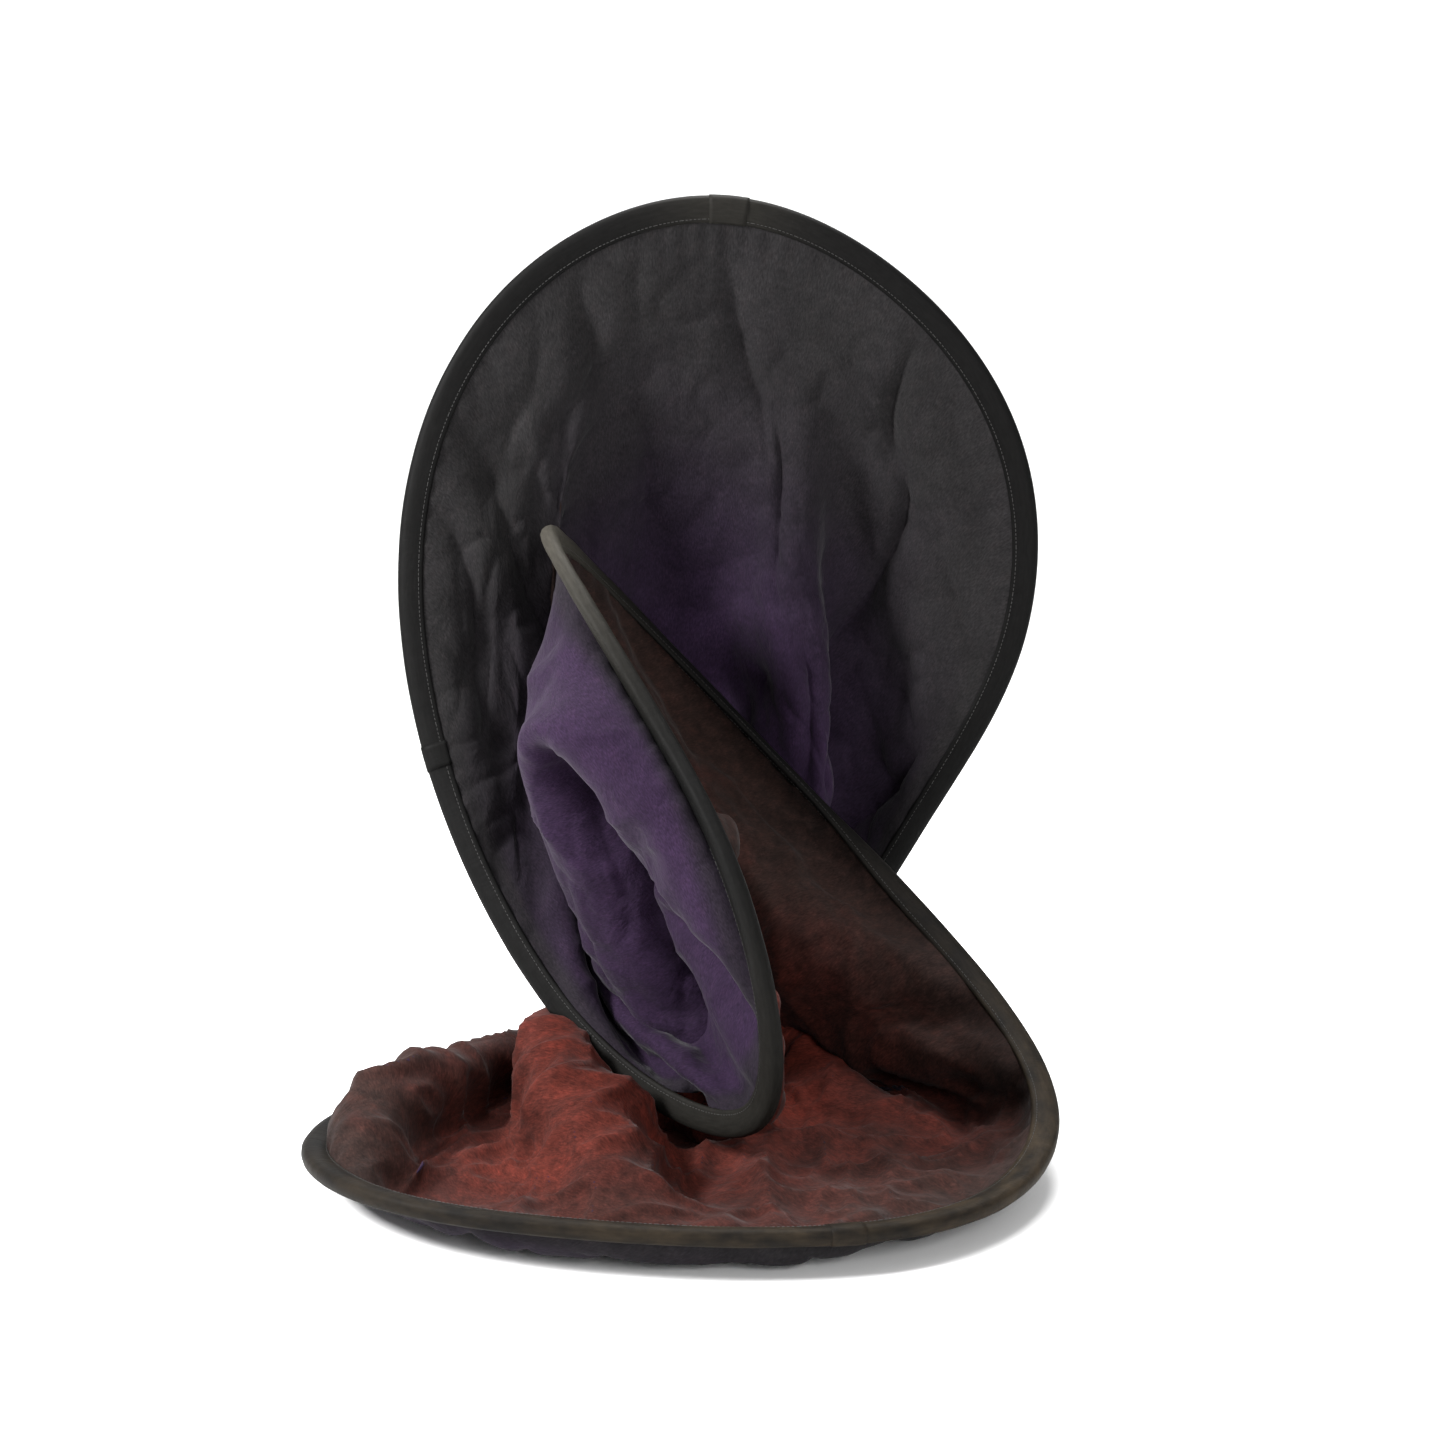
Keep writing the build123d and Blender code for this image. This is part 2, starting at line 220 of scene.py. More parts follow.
def border_of(across, along):
    """Grid rows and columns round the border, clockwise from the middle of the top row."""
    top = [(0, u) for u in range(across)]
    right = [(v, across - 1) for v in range(1, along)]
    bottom = [(along - 1, u) for u in range(across - 2, -1, -1)]
    left = [(v, 0) for v in range(along - 2, 0, -1)]
    middle = across // 2
    return np.array(top[middle:] + right + bottom + left + top[:middle])


BORDER = border_of(GRID_ACROSS, GRID_ALONG)
BORDER_SHARE = np.arange(len(BORDER)) / len(BORDER)


def skin(values, guide=None):
    """The smoothest grid whose border has these values."""
    grid = np.zeros((GRID_ALONG, GRID_ACROSS, values.shape[1]))
    grid[BORDER[:, 0], BORDER[:, 1]] = values
    u = np.linspace(0, 1, GRID_ACROSS)[None, :, None]
    v = np.linspace(0, 1, GRID_ALONG)[:, None, None]
    corners = (1 - u) * (1 - v) * grid[0, 0] + u * (1 - v) * grid[0, -1]
    corners = corners + (1 - u) * v * grid[-1, 0] + u * v * grid[-1, -1]
    sides = (1 - v) * grid[0:1] + v * grid[-1:] + (1 - u) * grid[:, 0:1] + u * grid[:, -1:]
    grid = sides - corners
    grid[BORDER[:, 0], BORDER[:, 1]] = values
    rows, columns = np.indices((GRID_ALONG - 2, GRID_ACROSS - 2))
    odd = ((rows + columns) % 2)[..., None]
    for sweep in range(SKIN_SWEEPS):
        for colour in (0, 1):
            mean = (grid[:-2, 1:-1] + grid[2:, 1:-1] + grid[1:-1, :-2] + grid[1:-1, 2:]) / 4
            grid[1:-1, 1:-1] += np.where(odd == colour, 1.9 * (mean - grid[1:-1, 1:-1]), 0)
        if guide is not None and sweep % 8 == 7:
            guide(grid)
    return grid


def zone(low, high):
    """1 near the border between two shares of the hoop, and smoothly 0 near the rest of it."""
    return skin((np.mod(BORDER_SHARE - low, 1.0) < high - low).astype(float)[:, None])


# ---------------------------------------------------------------- the cloth
SKIN_SWEEPS = 600
SETTLE_STEPS = 240
GROWTH_SHARE = 0.6  # of the steps, for the cloth to grow to its size
GROWTH = 0.90
PASSES = 6
STEP_TIME = 0.012
DRAG = 0.985
GRAVITY = 5.0
TOUCH = 0.0145  # two layers stay this far apart
RIM_TOUCH = 0.0180
RIM_INSIDE = 0.002  # the rim's own points lie this far inside the hoop's line
LEAVES_ALONE = 2.1 * TOUCH  # points of cloth nearer than this on the cut are neighbours
RIM_LEAVES_ALONE = 0.055
LOOK_BEYOND = 0.006  # pairs that are not yet touching, for the steps until the next search
MOST_PARTING = 0.002
MOST_TRAVEL = 0.004  # of a point in one step
FLOOR_GRIP = 0.6  # share of its speed that a point keeps on the floor
FLOOR_NEAR = 0.001
FLOOR_CLEAR = 0.0020
BOX_LOW = (-0.370, -0.285, 0.0)
BOX_HIGH = (0.430, 0.515, 1.030)
# Rows and columns to the point that each point is tied to, and how slack that tie is.
TIES = [
    (0, 1, 0.0),
    (1, 0, 0.0),
    (1, 1, 0.6),
    (1, -1, 0.6),
    (0, 2, 0.35),
    (2, 0, 0.35),
    (0, 4, 0.9),
    (4, 0, 0.9),
    (0, 8, 6.0),
    (8, 0, 6.0),
]
# Shares of the hoop beside which the inner lobes' leaf begins and its front pocket lies.
LEAF_FROM = 0.560
POCKET = (0.600, 0.760)
LEAF_SPARE = -0.06  # cloth more than the flat cut has
LYING_SPARE = 0.06
LEAST_STIFFNESS = 0.12
# Pushes that steer the folds to where the photo shows them; they stand for nothing physical.
UPPER_PUSH = (0.0, 4.0, 0.0)
POCKET_PUSH = (-1.0, -0.30, 0.0)
# The standing part passes behind the inner lobe's rear rim, between these shares of the hoop.
REAR_RIM = (0.535, 0.662)
REAR_CLEAR = 0.035
REAR_SLOPE = 1.2
STANDING_ABOVE = 0.20  # on the cut, from its middle
# The cloth is caught where the four lobes meet.
CAUGHT_AT = (0.012, 0.129, 0.300)
CAUGHT_REACH = 0.18
CAUGHT_PULL = 0.06


class Cloth:
    """A grid of cloth points held along the binding, solved by position-based dynamics."""

    def __init__(self):
        outline = flat_outline(BORDER_SHARE, PANEL_WIDTH, PANEL_LENGTH, CORNER_RADIUS)
        k = rim_index(BORDER_SHARE)
        self.plain = skin(outline)
        self.cut = self.plain.copy()
        rise = np.clip((self.plain[..., 1:2] - TAPER_FROM) / TAPER_OVER, 0, 1)
        self.cut[..., 0:1] *= 1 - TOP_TAPER * rise
        self.standing = self.plain[..., 1] > STANDING_ABOVE
        self.start = skin(rim_at[k] + rim_side[k] * FABRIC_SET, self.keep_behind)
        self.at = self.start.copy()
        self.speed = np.zeros_like(self.at)
        self.free = np.ones((GRID_ALONG, GRID_ACROSS, 1))
        self.free[BORDER[:, 0], BORDER[:, 1]] = 0
        upper = zone(FLEX_BOTTOM_UPPER - 1, FLEX_UPPER_FLOOR)
        lying = zone(FLEX_UPPER_FLOOR, LEAF_FROM)
        leaf = zone(LEAF_FROM, FLEX_BOTTOM_UPPER)
        pocket = zone(*POCKET)
        self.fullness = (1 + LEAF_SPARE * leaf + LYING_SPARE * lying).reshape(-1, 1)
        self.stiffness = (LEAST_STIFFNESS + (1 - LEAST_STIFFNESS) * upper**2).reshape(-1, 1)
        self.push = upper * np.array(UPPER_PUSH) + pocket * np.array(POCKET_PUSH)
        self.push = self.push + np.array([0, 0, -GRAVITY])
        self.zones = np.concatenate([upper, lying, leaf], 2)
        away = np.linalg.norm(self.start - np.array(CAUGHT_AT), axis=-1)
        caught = np.unravel_index(away.argmin(), away.shape)
        away = np.linalg.norm(self.cut - self.cut[caught], axis=-1, keepdims=True)
        self.caught = CAUGHT_PULL * np.exp(-((away / CAUGHT_REACH) ** 2)) * self.free
        spaced = np.arange(0, RIM_COUNT, 4)
        self.rim = rim_at[spaced] + rim_side[spaced] * RIM_INSIDE
        self.rim_flat = flat_outline(spaced / RIM_COUNT, PANEL_WIDTH, PANEL_LENGTH, CORNER_RADIUS)
        self.ties = []
        for rows, columns, slack in TIES:
            self.tie(rows, columns, slack)

    def keep_behind(self, grid):
        """Keeps the standing part behind the inner lobe's rear rim."""
        rim = rim_at[rim_index(np.linspace(*REAR_RIM, 60))]
        at = grid[self.standing]
        away = np.hypot(at[:, None, 0] - rim[None, :, 0], at[:, None, 2] - rim[None, :, 2])
        need = (rim[None, :, 1] + REAR_CLEAR - REAR_SLOPE * away).max(1)
        at[:, 1] = np.maximum(at[:, 1], need)
        grid[self.standing] = at

    def tie(self, rows, columns, slack):
        """Ties each point to the one so many rows and columns away, in two groups that share none."""
        reach = max(rows, abs(columns))
        index = np.arange(GRID_ALONG * GRID_ACROSS).reshape(GRID_ALONG, GRID_ACROSS)
        cut = self.cut.reshape(-1, 2)
        start = self.start.reshape(-1, 3)
        free = self.free.reshape(-1, 1)
        for phase in (0, 1):
            v = np.arange(0, GRID_ALONG - rows)
            u = np.arange(max(0, -columns), GRID_ACROSS - max(0, columns))
            if rows:
                v = v[(v // reach) % 2 == phase]
            else:
                u = u[(u // reach) % 2 == phase]
            a = index[np.ix_(v, u)].ravel()
            b = index[np.ix_(v + rows, u + columns)].ravel()
            use = (free[a] + free[b])[:, 0] > 0
            a, b = a[use], b[use]
            full = np.linalg.norm(cut[b] - cut[a], axis=1, keepdims=True)
            full *= (self.fullness[a] + self.fullness[b]) / 2
            first = np.linalg.norm(start[b] - start[a], axis=1, keepdims=True)
            give = free[a] + free[b] + slack
            if reach > 2:
                give = free[a] + free[b] + 2 * slack / (self.stiffness[a] + self.stiffness[b])
            self.ties.append((a, b, full, first, free[a], free[b], give))

    def pull_ties(self, growth):
        """Pulls tied points towards their distance, which grows from the first to the full one."""
        at = self.at.reshape(-1, 3)
        for a, b, full, first, free_a, free_b, give in self.ties:
            gap = at[b] - at[a]
            size = np.sqrt((gap * gap).sum(1, keepdims=True)) + 1e-9
            wanted = first + (full - first) * growth
            gap *= (size - wanted) / (size * give)
            at[a] += gap * free_a
            at[b] -= gap * free_b

    def find_pairs(self, reach):
        """Pairs of points, of cloth or rim, nearer than reach and not neighbours in the cloth."""
        at = np.vstack([self.at.reshape(-1, 3), self.rim])
        flat = np.vstack([self.cut.reshape(-1, 2), self.rim_flat])
        start = np.vstack([self.start.reshape(-1, 3), self.rim])
        free = np.concatenate([self.free.ravel(), np.zeros(len(self.rim))])
        cell = np.floor((at - at.min(0)) / reach).astype(np.int64) + 1
        size = cell.max(0) + 2
        key = (cell[:, 0] * size[1] + cell[:, 1]) * size[2] + cell[:, 2]
        order = np.argsort(key, kind="stable")
        sorted_key = key[order]
        steps = [(0, 0, 0), (1, 0, 0), (-1, 1, 0), (0, 1, 0), (1, 1, 0)]
        steps += [(x, y, 1) for x in (-1, 0, 1) for y in (-1, 0, 1)]
        first, second = [], []
        for x, y, z in steps:
            shift = (x * size[1] + y) * size[2] + z
            low = np.searchsorted(sorted_key, key + shift, side="left")
            high = np.searchsorted(sorted_key, key + shift, side="right")
            for k in range(int((high - low).max())):
                i = np.nonzero(low + k < high)[0]
                j = order[low[i] + k]
                if shift == 0:
                    i, j = i[j > i], j[j > i]
                near = ((at[i] - at[j]) ** 2).sum(1) < reach * reach
                first.append(i[near])
                second.append(j[near])
        i, j = np.concatenate(first), np.concatenate(second)
        with_rim = (i >= self.free.size) | (j >= self.free.size)
        apart = np.linalg.norm(flat[i] - flat[j], axis=1)
        keep = (apart > np.where(with_rim, RIM_LEAVES_ALONE, LEAVES_ALONE)) & (free[i] + free[j] > 0)
        i, j, with_rim = i[keep], j[keep], with_rim[keep]
        begin = np.linalg.norm(start[i] - start[j], axis=1)
        self.pairs = (i, j, with_rim, begin, free[i], free[j])

    def part_pairs(self, growth):
        """Parts the pairs that touch, without moving the rim."""
        i, j, with_rim, begin, free_i, free_j = self.pairs
        at = np.vstack([self.at.reshape(-1, 3), self.rim])
        gap = at[i] - at[j]
        size = np.sqrt((gap * gap).sum(1)) + 1e-9
        wanted = np.where(with_rim, RIM_TOUCH, TOUCH)
        wanted = np.minimum(wanted, 0.9 * begin + growth * wanted)
        push = np.where(size < wanted, (wanted - size) / (size * (free_i + free_j)), 0)
        move = gap * np.minimum(push, MOST_PARTING / size)[:, None]
        hits = np.bincount(i, push > 0, len(at)) + np.bincount(j, push > 0, len(at))
        step = np.zeros_like(at)
        for k in range(3):
            step[:, k] = np.bincount(i, move[:, k] * free_i, len(at))
            step[:, k] -= np.bincount(j, move[:, k] * free_j, len(at))
        step /= np.maximum(1, 0.5 * hits)[:, None]
        self.at += step[: self.free.size].reshape(self.at.shape)

    def settle(self, steps):
        """Grows the cloth and lets it find its place in so many steps."""
        for step in range(steps):
            growth = GROWTH * min(1.0, (step + 1) / (steps * GROWTH_SHARE))
            before = self.at.copy()
            self.speed = (self.speed + self.push * STEP_TIME) * DRAG
            travel = np.linalg.norm(self.speed, axis=-1, keepdims=True) * STEP_TIME
            self.speed *= np.minimum(1, MOST_TRAVEL / np.maximum(travel, 1e-9))
            self.at += self.speed * STEP_TIME * self.free
            if step % 4 == 0:
                self.find_pairs(TOUCH + LOOK_BEYOND)
            self.keep_behind(self.at)
            for k in range(PASSES):
                self.pull_ties(growth)
                self.at += (self.start - self.at) * self.caught
                if k % 2 == 1:
                    self.part_pairs(growth)
                self.at[..., 2] = np.maximum(self.at[..., 2], FLOOR_CLEAR)
                np.clip(self.at, BOX_LOW, BOX_HIGH, out=self.at)
            self.speed = (self.at - before) / STEP_TIME
            self.speed[self.at[..., 2] < FLOOR_CLEAR + FLOOR_NEAR] *= FLOOR_GRIP


# ---------------------------------------------------------------- the finished sheet
def soften(grid, times):
    """The grid with folds as narrow as its cells evened out, and the same border."""
    grid = grid.copy()
    for k in range(times):
        inner = grid[1:-1, 1:-1]
        mean = (grid[:-2, 1:-1] + grid[2:, 1:-1] + grid[1:-1, :-2] + grid[1:-1, 2:]) / 4
        grid[1:-1, 1:-1] = inner + 0.5 * (mean - inner)
    return grid


LATTICE = 80
RIDGE_SHARPNESS = 3


def ridges(flat, size, seed):
    """Uneven ridges from 0 to 1, about so far apart, over points of the cut."""
    lattice = np.random.default_rng(seed).random((LATTICE, LATTICE))
    place = flat / size + LATTICE // 2
    cell = np.floor(place).astype(int)
    t = place - cell
    t = t * t * (3 - 2 * t)
    i, j = cell[..., 0], cell[..., 1]
    low = lattice[i, j] * (1 - t[..., 0]) + lattice[i + 1, j] * t[..., 0]
    high = lattice[i, j + 1] * (1 - t[..., 0]) + lattice[i + 1, j + 1] * t[..., 0]
    mixed = low * (1 - t[..., 1]) + high * t[..., 1]
    return (1 - np.abs(2 * mixed - 1)) ** RIDGE_SHARPNESS


def finer(grid, times):
    """The grid with so many steps for each of its own, along smooth curves through its points."""
    for axis in (0, 1):
        grid = np.swapaxes(grid, 0, axis)
        before = np.concatenate([2 * grid[:1] - grid[1:2], grid[:-1]])[:-1]
        after = np.concatenate([grid[1:], 2 * grid[-1:] - grid[-2:-1]])[1:]
        a, b = grid[:-1], grid[1:]
        rows = []
        for k in range(times):
            t = k / times
            rows.append(
                a
                + 0.5 * t * (b - before)
                + 0.5 * t**2 * (2 * before - 5 * a + 4 * b - after)
                + 0.5 * t**3 * (3 * a - before - 3 * b + after)
            )
        mixed = np.stack(rows, 1).reshape((-1,) + grid.shape[1:])
        grid = np.swapaxes(np.concatenate([mixed, grid[-1:]]), 0, axis)
    return grid


def face_normals(at):
    """Normals of a grid of points, towards the front panel's side."""
    return unit(np.cross(np.gradient(at, axis=0), np.gradient(at, axis=1)))


def rim_distance(flat):
    """How far points of the plain cut are from its edge."""
    corner = np.abs(flat) - (np.array([PANEL_WIDTH, PANEL_LENGTH]) / 2 - CORNER_RADIUS)
    outside = np.linalg.norm(np.maximum(corner, 0), axis=-1)
    return np.maximum(CORNER_RADIUS - outside - np.minimum(corner.max(-1), 0), 0)


SOFTENED = 2
UPPER_SOFTENED = 8
PUCKER_DEPTH = 0.0016
PUCKER_REACH = 0.030
PUCKERS = 190  # round the hoop
PUCKER_START = 0.006
# Creases of each zone: their height, their spacing and their seed. Negative is towards the back.
LEAF_CREASES = [(0.009, 0.12, 7), (0.004, 0.055, 8)]
LYING_CREASES = [(-0.020, 0.15, 3), (-0.014, 0.08, 5), (-0.009, 0.045, 6)]
UPPER_CREASES = [(-0.010, 0.10, 12), (-0.005, 0.05, 13)]
UPPER_FOLDS = [(-0.024, 0.09, 11)]  # drawn out along the cut
CREASE_SKEW = ((0.8, 0.5), (-0.6, 1.1))
FOLD_SQUEEZE = (1.0, 0.35)
CREASE_FADE = 0.09  # from the rim
PRESSED_AT = (-0.30, 0.80)  # on the cut, where the inner lobe's tip presses on the standing part
RAY_HEIGHT = -0.006
RAY_REACH = 0.20
RAY_START = 0.05
SETTLED_FROM = 0.008  # below this height the sheet is let down onto the floor


def creases(flat, layers):
    """The layers of creases, added up."""
    return sum(height * ridges(flat, spacing, seed) for height, spacing, seed in layers)


def pressed_rays():
    """Creases that run out from where the inner lobe's tip presses."""
    from_tip = sheet_plain - np.array(PRESSED_AT)
    angle = np.arctan2(from_tip[..., 1], from_tip[..., 0])
    reach = np.linalg.norm(from_tip, axis=-1)
    fade = np.minimum(1, reach / RAY_START) * np.exp(-((reach / RAY_REACH) ** 2))
    return np.abs(np.sin(3.5 * angle + 0.6)) * fade


def puckers():
    """Small uneven waves along the seam, from -1 to 1."""
    bend = 2.5 * np.sin(9 * sheet_share) + 1.5 * np.sin(23 * sheet_share)
    fade = (0.55 + 0.45 * np.sin(13 * sheet_share + 1.0)) * np.exp(-from_rim / PUCKER_REACH)
    return np.sin(PUCKERS * sheet_share + bend) * fade * np.minimum(1, from_rim / PUCKER_START)


cloth = Cloth()
cloth.settle(SETTLE_STEPS)

turn = 2 * math.pi * BORDER_SHARE[:, None]
round_rim = finer(skin(np.hstack([np.cos(turn), np.sin(turn)])), FINER)
sheet_share = np.arctan2(round_rim[..., 1], round_rim[..., 0])
sheet_plain = finer(cloth.plain, FINER)
sheet_cut = finer(cloth.cut, FINER)
zones = cloth.zones
smooth = soften(cloth.at, SOFTENED)
smooth += (soften(smooth, UPPER_SOFTENED) - smooth) * zones[..., :1]
sheet_at = finer(smooth, FINER)
upper, lying, leaf = np.moveaxis(finer(zones, FINER), 2, 0)
from_rim = rim_distance(sheet_plain)
skewed = sheet_cut @ np.array(CREASE_SKEW)
crumple = leaf * creases(skewed, LEAF_CREASES) + lying * creases(skewed, LYING_CREASES)
crumple += upper * creases(skewed, UPPER_CREASES)
crumple += upper * creases(sheet_cut * np.array(FOLD_SQUEEZE), UPPER_FOLDS)
crumple += upper * RAY_HEIGHT * pressed_rays()
relief = PUCKER_DEPTH * puckers() + crumple * np.minimum(1, from_rim / CREASE_FADE)
sheet_at = sheet_at + face_normals(sheet_at) * relief[..., None]
sheet_at[..., 2] = np.maximum(sheet_at[..., 2], FLOOR_CLEAR)
sinking = np.clip((SETTLED_FROM - sheet_at[..., 2]) / (SETTLED_FROM - FLOOR_CLEAR), 0, 1)
sheet_at[..., 2] -= (FLOOR_CLEAR - PANEL_GAP) * sinking  # the under panel lies on the floor
sheet_normal = face_normals(sheet_at)


# ---------------------------------------------------------------- the lobes
def bend_line(lobe):
    """Two points past the middle of the line between the lobe's flex points, towards the lobe: where its
    bend starts and ends.
    """
    start, end, far = LOBES[lobe]
    near, other = rim_at[rim_index(start)], rim_at[rim_index(end)]
    along = unit(other - near)
    towards = np.array(BEND_TOWARDS[lobe])
    towards = unit(towards - (towards @ along) * along)
    middle = (near + other) / 2
    return middle + towards * BEND_START, middle + towards * BEND_END


def lobe_part(lobe):
    """Which points of the sheet lie beyond the lobe's bend and hang together with its far end."""
    first, last = bend_line(lobe)
    beyond = (sheet_at - first) @ unit(last - first) > 0
    far = BORDER[int(round((LOBES[lobe][2] % 1) * len(BORDER))) % len(BORDER)] * FINER
    part = np.zeros_like(beyond)
    part[far[0], far[1]] = True
    size = 0
    while part.sum() > size:
        size = part.sum()
        for k in range(8):
            part[1:] |= part[:-1]
            part[:-1] |= part[1:]
            part[:, 1:] |= part[:, :-1]
            part[:, :-1] |= part[:, 1:]
            part &= beyond
    return part


def follow(piece, lobe):
    """Ties a piece of the floor lobe to its body; a piece of another lobe keeps its place, baked into
    its points.
    """
    if lobe == "floor":
        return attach(piece, "floor_lobe")
    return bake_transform(piece)


# ---------------------------------------------------------------- meshes
def new_piece(name, points, faces, material, uv=None, values=None):
    """A smooth mesh with a map in metres and named values at its points."""
    mesh = bpy.data.meshes.new(name)
    mesh.from_pydata(np.asarray(points).tolist(), [], faces)
    mesh.polygons.foreach_set("use_smooth", [True] * len(mesh.polygons))
    if uv is not None:
        corners = np.zeros(len(mesh.loops), dtype=np.int32)
        mesh.loops.foreach_get("vertex_index", corners)
        layer = mesh.uv_layers.new(name="cut")
        layer.data.foreach_set("uv", np.asarray(uv)[corners].astype(np.float32).ravel())
    for key, amounts in (values or {}).items():
        attribute = mesh.attributes.new(key, "FLOAT", "POINT")
        attribute.data.foreach_set("value", np.asarray(amounts).astype(np.float32))
    mesh.materials.append(material)
    mesh.update()
    piece = bpy.data.objects.new(name, mesh)
    bpy.context.scene.collection.objects.link(piece)
    return piece


def only_used(faces, *tables):
    """The faces and tables with just the points that the faces use."""
    used, index = np.unique(faces, return_inverse=True)
    return [index.reshape(faces.shape)] + [table[used] for table in tables]


# ---------------------------------------------------------------- materials
def new_material(name):
    material = bpy.data.materials.new(name)
    material.use_nodes = True
    return material, material.node_tree, material.node_tree.nodes["Principled BSDF"]


def add_node(tree, kind, **settings):
    node = tree.nodes.new(kind)
    for key, value in settings.items():
        setattr(node, key, value)
    return node


def mapped(tree, scale):
    """The cut's map, scaled."""
    coordinates = add_node(tree, "ShaderNodeUVMap", uv_map="cut")
    mapping = add_node(tree, "ShaderNodeMapping")
    mapping.inputs["Scale"].default_value = scale
    tree.links.new(coordinates.outputs["UV"], mapping.inputs["Vector"])
    return mapping.outputs["Vector"]


def noise(tree, scale, detail=2.0, roughness=0.5, distortion=0.0, kind="FBM"):
    node = add_node(tree, "ShaderNodeTexNoise", noise_type=kind)
    node.inputs["Scale"].default_value = 1.0
    node.inputs["Detail"].default_value = detail
    node.inputs["Roughness"].default_value = roughness
    node.inputs["Distortion"].default_value = distortion
    tree.links.new(mapped(tree, scale), node.inputs["Vector"])
    return node.outputs["Fac"]


def ramp(tree, value, stops):
    """Maps a value to a colour or grey along stops of (place, colour)."""
    node = add_node(tree, "ShaderNodeValToRGB")
    elements = node.color_ramp.elements
    while len(elements) < len(stops):
        elements.new(0.5)
    for element, (place, colour) in zip(elements, stops):
        element.position = place
        element.color = (*colour, 1.0)
    tree.links.new(value, node.inputs["Fac"])
    return node.outputs["Color"]


def math_node(tree, operation, a, b):
    node = add_node(tree, "ShaderNodeMath", operation=operation)
    for socket, value in zip(node.inputs, (a, b)):
        if isinstance(value, (int, float)):
            socket.default_value = value
        else:
            tree.links.new(value, socket)
    return node.outputs[0]


def mix(tree, blend, factor, a, b):
    node = add_node(tree, "ShaderNodeMix", data_type="RGBA", blend_type=blend)
    for socket, value in zip((node.inputs[0], node.inputs[6], node.inputs[7]), (factor, a, b)):
        if isinstance(value, (int, float)):
            socket.default_value = value
        elif isinstance(value, tuple):
            socket.default_value = (*value, 1.0)
        else:
            tree.links.new(value, socket)
    return node.outputs[2]


def bump(tree, shader, layers):
    """Adds (height, strength, distance) layers of relief to the shader."""
    last = None
    for height, strength, distance in layers:
        node = add_node(tree, "ShaderNodeBump")
        node.inputs["Strength"].default_value = strength
        node.inputs["Distance"].default_value = distance
        tree.links.new(height, node.inputs["Height"])
        if last is not None:
            tree.links.new(last, node.inputs["Normal"])
        last = node.outputs["Normal"]
    tree.links.new(last, shader.inputs["Normal"])


# Stops of the ramps: a place from 0 to 1 and the colour there.
SMUDGE_STOPS = [(0.30, (0.62, 0.62, 0.62)), (0.68, (1.0, 1.0, 1.0))]
WORN_STOPS = [(0.30, (0.55, 0.58, 0.60)), (0.50, (0.90, 0.92, 0.94)), (0.72, (1.45, 1.30, 1.30))]
HEATHER_STOPS = [(0.32, (0.45, 0.43, 0.45)), (0.52, (0.95, 0.95, 0.95)), (0.72, (1.60, 1.55, 1.60))]
CREASE_STOPS = [(0.35, (0.0, 0.0, 0.0)), (1.0, (1.0, 1.0, 1.0))]
GRAIN_STOPS = [(0.3, (0.7, 0.7, 0.7)), (0.7, (1.2, 1.2, 1.2))]
SOIL_STOPS = [(0.35, (0.2, 0.2, 0.2)), (0.65, (1.0, 1.0, 1.0))]
TAPE_BLACK = (0.0042, 0.0041, 0.0040)
TAPE_RUBBED = (0.038, 0.035, 0.029)
TAPE_SOILED = (0.026, 0.019, 0.012)


def cloth_material(name, stops, mottle, wear, sheen):
    """Heather cloth whose dye deepens towards the middle of the panel in uneven patches."""
    material, tree, shader = new_material(name)
    dye = add_node(tree, "ShaderNodeAttribute", attribute_name="dye").outputs["Fac"]
    patches = noise(tree, (4.5, 4.5, 1.0), 6.0, 0.62, 0.8)
    spread = math_node(tree, "MULTIPLY", math_node(tree, "SUBTRACT", patches, 0.5), mottle)
    colour = ramp(tree, math_node(tree, "ADD", dye, spread), stops)
    smudge = ramp(tree, noise(tree, (14, 14, 1), 5.0, 0.65, 0.4), SMUDGE_STOPS)
    colour = mix(tree, "MULTIPLY", 0.85, colour, smudge)
    worn = ramp(tree, noise(tree, (95, 60, 1), 5.0, 0.7, 0.3), WORN_STOPS)
    colour = mix(tree, "MULTIPLY", wear, colour, worn)
    heather = ramp(tree, noise(tree, (620, 170, 1), 3.0, 0.7), HEATHER_STOPS)
    colour = mix(tree, "MULTIPLY", 0.75, colour, heather)
    tree.links.new(colour, shader.inputs["Base Color"])
    shader.inputs["Roughness"].default_value = 0.78
    shader.inputs["Specular IOR Level"].default_value = 0.05
    shader.inputs["Sheen Weight"].default_value = sheen
    shader.inputs["Sheen Roughness"].default_value = 0.45
    creased = noise(tree, (7, 4.5, 1), 3.0, 0.5, 0.5, "RIDGED_MULTIFRACTAL")
    ridge = ramp(tree, creased, CREASE_STOPS)
    rumple = noise(tree, (26, 20, 1), 4.0, 0.6, 0.6)
    weave = noise(tree, (900, 900, 1), 1.0, 0.5)
    bump(tree, shader, [(ridge, 1.0, 0.016), (rumple, 0.6, 0.006), (weave, 0.3, 0.0004)])
    return material


FRONT_STOPS = [
    (0.00, (0.0170, 0.0160, 0.0162)),
    (0.30, (0.0165, 0.0142, 0.0168)),
    (0.62, (0.0165, 0.0112, 0.0198)),
    (1.00, (0.0220, 0.0116, 0.0292)),
]
BACK_STOPS = [
    (0.00, (0.0185, 0.0115, 0.0098)),
    (0.38, (0.0240, 0.0125, 0.0100)),
    (0.66, (0.0420, 0.0125, 0.0095)),
    (1.00, (0.1000, 0.0190, 0.0125)),
]
front_fabric = cloth_material("front_fabric", FRONT_STOPS, 0.45, 0.40, 0.05)
back_fabric = cloth_material("back_fabric", BACK_STOPS, 1.10, 1.0, 0.04)


